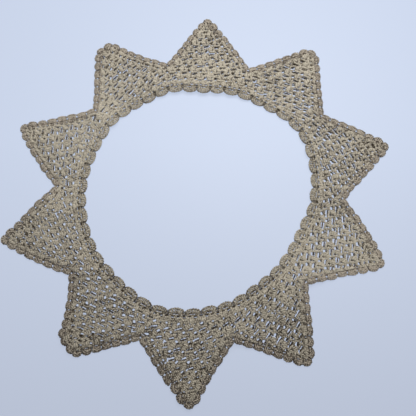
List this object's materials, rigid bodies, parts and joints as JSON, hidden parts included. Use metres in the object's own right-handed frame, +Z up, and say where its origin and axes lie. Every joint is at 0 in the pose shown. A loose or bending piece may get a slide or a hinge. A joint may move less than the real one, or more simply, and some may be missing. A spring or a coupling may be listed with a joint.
{
  "type": "crocheted lace collar",
  "caption": "Crocheted lace collar laid flat, with pointed mesh panels round an open neckline and scalloped shell edgings inside and out.",
  "frame": {"origin": "on the surface that the collar lies on, under the middle of its bounding box", "axes": "+Z up off the surface, +X to the right and +Y away from the viewer as the collar is laid out"},
  "size_m": [0.3353, 0.345, 0.0064],
  "materials": {
    "net_cotton": "matt cotton crochet, oatmeal beige, open fan net",
    "neck_edging_cotton": "matt cotton crochet, oatmeal beige, shell edging at the neckline",
    "point_edging_cotton": "matt cotton crochet, oatmeal beige, small shells round the points"
  },
  "bodies": {
    "root": {"neck_edging_01": "neck_edging_cotton", "neck_edging_02": "neck_edging_cotton", "neck_edging_03": "neck_edging_cotton", "neck_edging_04": "neck_edging_cotton", "neck_edging_05": "neck_edging_cotton", "neck_edging_06": "neck_edging_cotton", "neck_edging_07": "neck_edging_cotton", "neck_edging_08": "neck_edging_cotton", "neck_edging_09": "neck_edging_cotton", "neck_edging_10": "neck_edging_cotton", "neck_edging_11": "neck_edging_cotton", "neck_edging_12": "neck_edging_cotton", "point_01": "net_cotton", "point_02": "net_cotton", "point_03": "net_cotton", "point_04": "net_cotton", "point_05": "net_cotton", "point_06": "net_cotton", "point_07": "net_cotton", "point_08": "net_cotton", "point_09": "net_cotton", "point_10": "net_cotton", "point_edging_01": "point_edging_cotton", "point_edging_02": "point_edging_cotton", "point_edging_03": "point_edging_cotton", "point_edging_04": "point_edging_cotton", "point_edging_05": "point_edging_cotton", "point_edging_06": "point_edging_cotton", "point_edging_07": "point_edging_cotton", "point_edging_08": "point_edging_cotton", "point_edging_09": "point_edging_cotton", "point_edging_10": "point_edging_cotton"}
  },
  "joints": []
}
